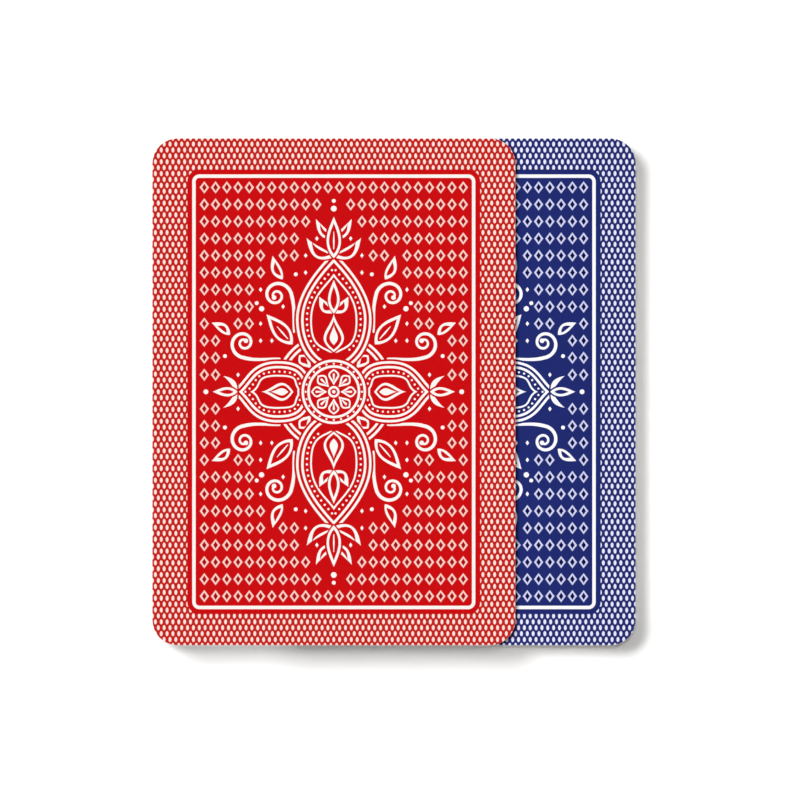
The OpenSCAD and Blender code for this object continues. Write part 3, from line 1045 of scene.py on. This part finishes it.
def card_mesh(name, fronted, materials, tint, inset, off_back, off_front, inked_rim):
    """One card about its own centre, face down: the back is on top. The sheets are never cut quite true, so the print
    on each card is a little off its place. Ink runs over the rim of a card that lies on top."""
    bv, bf, bt, brim = BACK
    fv, ff, ft, frim = fronted
    bv, fv = nudged(bv, brim, off_back), nudged(fv, frim, off_front)
    h, n = THICK / 2, len(RIM)
    scale = np.array([1 - inset / (CARD_W / 2), 1 - inset / (CARD_H / 2)])
    rim = RIM * scale
    co = np.concatenate([
        np.column_stack([bv * scale, np.full(len(bv), h)]),
        np.column_stack([rim, np.full(n, h - ROUND)]),
        np.column_stack([rim, np.full(n, -h + ROUND)]),
        np.column_stack([-fv[:, 0] * scale[0], fv[:, 1] * scale[1], np.full(len(fv), -h)]),
    ])
    r0, r1, f0 = len(bv), len(bv) + n, len(bv) + 2 * n
    i = np.arange(n)
    j = (i + 1) % n
    b = np.array(brim)
    # the front is drawn as it is seen from below, so its rim runs the other way: match its points by place
    under = co[f0:, :2]
    want = FACE_RIM * scale
    rim_f = np.array(frim)
    f = np.array([rim_f[np.argmin(((under[rim_f] - w) ** 2).sum(1))] for w in want]) + f0
    quads = np.concatenate([
        np.column_stack([b[i], r0 + i, r0 + j, b[j]]),
        np.column_stack([r0 + i, r1 + i, r1 + j, r0 + j]),
        np.column_stack([r1 + i, f[i], f[j], r1 + j]),
    ])
    tris = np.concatenate([bf, ff + f0])
    me = bpy.data.meshes.new(name)
    me.vertices.add(len(co))
    me.vertices.foreach_set("co", (co / 1000.0).astype(np.float32).ravel())
    loops = np.concatenate([tris.ravel(), quads.ravel()]).astype(np.int32)
    me.loops.add(len(loops))
    me.loops.foreach_set("vertex_index", loops)
    nt, nq = len(tris), len(quads)
    start = np.concatenate([np.arange(nt) * 3, nt * 3 + np.arange(nq) * 4]).astype(np.int32)
    me.polygons.add(nt + nq)
    me.polygons.foreach_set("loop_start", start)
    used = sorted(set(ft.tolist()))
    slot_of = {t: 4 + k for k, t in enumerate(used)}
    slots = np.concatenate([bt, [slot_of[t] for t in ft.tolist()], np.full(n, 0 if inked_rim else 3), np.full(2 * n, 3)]).astype(np.int32)
    me.polygons.foreach_set("material_index", slots)
    me.polygons.foreach_set("use_smooth", np.concatenate([np.zeros(nt, bool), np.ones(nq, bool)]))
    for m in materials[:4] + [materials[4][t] for t in used]:
        me.materials.append(m)
    flat = co[:, :2].copy()
    flat[:r0] = bv - off_back
    flat[f0:] = fv - off_front
    uv = me.uv_layers.new(name="card")
    uv.data.foreach_set("uv", (flat[loops] / 100.0 + 0.5).astype(np.float32).ravel())
    own = me.attributes.new("print_run", "FLOAT", "FACE")
    own.data.foreach_set("value", np.full(nt + nq, tint, np.float32))
    me.update()
    me.validate()
    return me


def place_of(node, level):
    """Centre of a card's solid; level counts the cards of a node from its lowest."""
    co = np.array([v.co for v in frame["nodes"][node].data.vertices])
    z0 = co[:, 2].min() + level * 0.0003
    own = co[(co[:, 2] > z0 - 0.00005) & (co[:, 2] < z0 + 0.00029)]
    return (own.min(0) + own.max(0)) / 2


node_body = {n: b for b, ns in frame["record"]["behaviour"]["bodies"].items() for n in ns}
fronts, tops = {}, {}
rank_in_view = 0
for k in range(53, -1, -1):
    for pack in ("red", "blue"):
        if k >= 52:
            rank, name, level = ("joker_1" if k == 53 else "joker_2"), "joker", 0
            node = f"{pack}_{rank}"
        else:
            name = SUITS_UP[k // 13]
            rank = RANKS[12 - k % 13]
            grouped = f"{pack}_{name}" in frame["nodes"]
            node, level = (f"{pack}_{name}", k % 13) if grouped else (f"{pack}_{rank}_of_{name}", 0)
        if (rank, name) not in fronts:
            fronts[rank, name] = engraved(front(rank, name), FACE_RIM, 0.02)
        label = node if k >= 52 else f"{pack}_{rank}_of_{name}"
        tint = math.sin(12.9898 * (k + 1) + (3.7 if pack == "red" else 0.0)) * 0.6 + math.sin(78.233 * (k + 1)) * 0.4
        turn = 2.4 * k + (1.1 if pack == "red" else 0.0)
        off = P(math.cos(turn), math.sin(turn)) * (0.0 if k == 53 else 0.16 + 0.2 * abs(tint))
        at = place_of(node, level)
        # a card that has slipped out from under the top one is drawn that much smaller
        slip = 1000 * abs(at - tops.setdefault(pack, at))[:2].max()
        inset = 0.0004 * rank_in_view + max(0.0, slip - 0.02)
        me = card_mesh("card_" + label, fronts[rank, name], looks[pack] + [edges[pack], faces], tint, inset, off, off[::-1] * 0.6, k == 53)
        card = bpy.data.objects.new("card_" + label, me)
        card.location = Vector(at)
        SCENE.collection.objects.link(card)
        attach(card, node_body[node])
        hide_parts(node)
        rank_in_view += 1

# ------------------------------------------------------------------ floor, light and camera

floor_mesh = bpy.data.meshes.new("floor")
floor_mesh.from_pydata([(-30, -30, 0), (30, -30, 0), (30, 30, 0), (-30, 30, 0)], [], [(0, 1, 2, 3)])
floor = bpy.data.objects.new("floor", floor_mesh)
floor.location.z = -0.00001
SCENE.collection.objects.link(floor)
fm = bpy.data.materials.new("white_paper_floor")
fm.use_nodes = True
ft_ = fm.node_tree
fb = ft_.nodes["Principled BSDF"]
fn = ft_.nodes.new("ShaderNodeTexNoise")
fn.inputs["Scale"].default_value = 30.0
fr = ft_.nodes.new("ShaderNodeMapRange")
fr.inputs["To Min"].default_value, fr.inputs["To Max"].default_value = 0.965, 0.975
fc = ft_.nodes.new("ShaderNodeCombineColor")
ft_.links.new(fn.outputs["Fac"], fr.inputs["Value"])
for i in range(3):
    ft_.links.new(fr.outputs["Result"], fc.inputs[i])
ft_.links.new(fc.outputs[0], fb.inputs["Base Color"])
fb.inputs["Roughness"].default_value = 0.9
fb.inputs["Specular IOR Level"].default_value = 0.0
floor_mesh.materials.append(fm)
floor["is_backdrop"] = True

world = bpy.data.worlds.new("studio")
SCENE.world = world
world.use_nodes = True
wt = world.node_tree
wt.nodes.clear()
bg = wt.nodes.new("ShaderNodeBackground")
wo = wt.nodes.new("ShaderNodeOutputWorld")
wt.links.new(bg.outputs[0], wo.inputs[0])
wc = wt.nodes.new("ShaderNodeTexCoord")
ws = wt.nodes.new("ShaderNodeSeparateXYZ")
wt.links.new(wc.outputs["Generated"], ws.inputs[0])
up = Val(wt, ws.outputs[2])
SKY, HORIZON = 0.10, 2.0        # soft light from above, and a bright band low round the studio for the sides of the packs
above = up > 0.0
glow = up.max(0.0) * SKY + (1.0 - up / 0.4).max(0.0) * above * HORIZON + (1.0 - above) * 1.02
wcol = wt.nodes.new("ShaderNodeCombineColor")
for i in range(3):
    wt.links.new(glow.out, wcol.inputs[i])
wt.links.new(wcol.outputs[0], bg.inputs["Color"])


def sun(name, share, degrees, towards, lit):
    """A soft lamp far away that lights one group of things."""
    lamp = bpy.data.lights.new(name, "SUN")
    lamp.energy = share * math.pi
    lamp.angle = math.radians(degrees)
    o = bpy.data.objects.new(name, lamp)
    o.rotation_mode = "QUATERNION"
    o.rotation_quaternion = Vector(towards).to_track_quat("-Z", "Y")
    SCENE.collection.objects.link(o)
    o.light_linking.receiver_collection = lit
    return o


on_cards, on_floor = bpy.data.collections.new("lit_cards"), bpy.data.collections.new("lit_floor")
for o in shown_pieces():
    on_cards.objects.link(o)
on_floor.objects.link(floor)
sun("overhead", 0.996, 3, (0.03, -0.02, -1.0), on_cards)
sun("key", 0.53, 9, (0.14, -0.118, -1.0), on_floor)
sun("fill", 0.15, 6, (0.14, -0.075, -1.0), on_floor)
sun("near", 0.20, 2.5, (0.0, -0.033, -1.0), on_floor)
sun("side", 0.33, 10, (1.0, -0.4, -0.7), on_floor)

cam = bpy.data.cameras.new("camera")
cam.type, cam.ortho_scale = "ORTHO", 0.8 / 5.76      # straight down, 5.76 pixels to the millimetre
cam.clip_start, cam.clip_end = 0.01, 50.0
cam_o = bpy.data.objects.new("camera", cam)
cam_o.location = (0.001046, -0.001423, 1.0)
SCENE.collection.objects.link(cam_o)
SCENE.camera = cam_o
SCENE.view_settings.view_transform = "Standard"
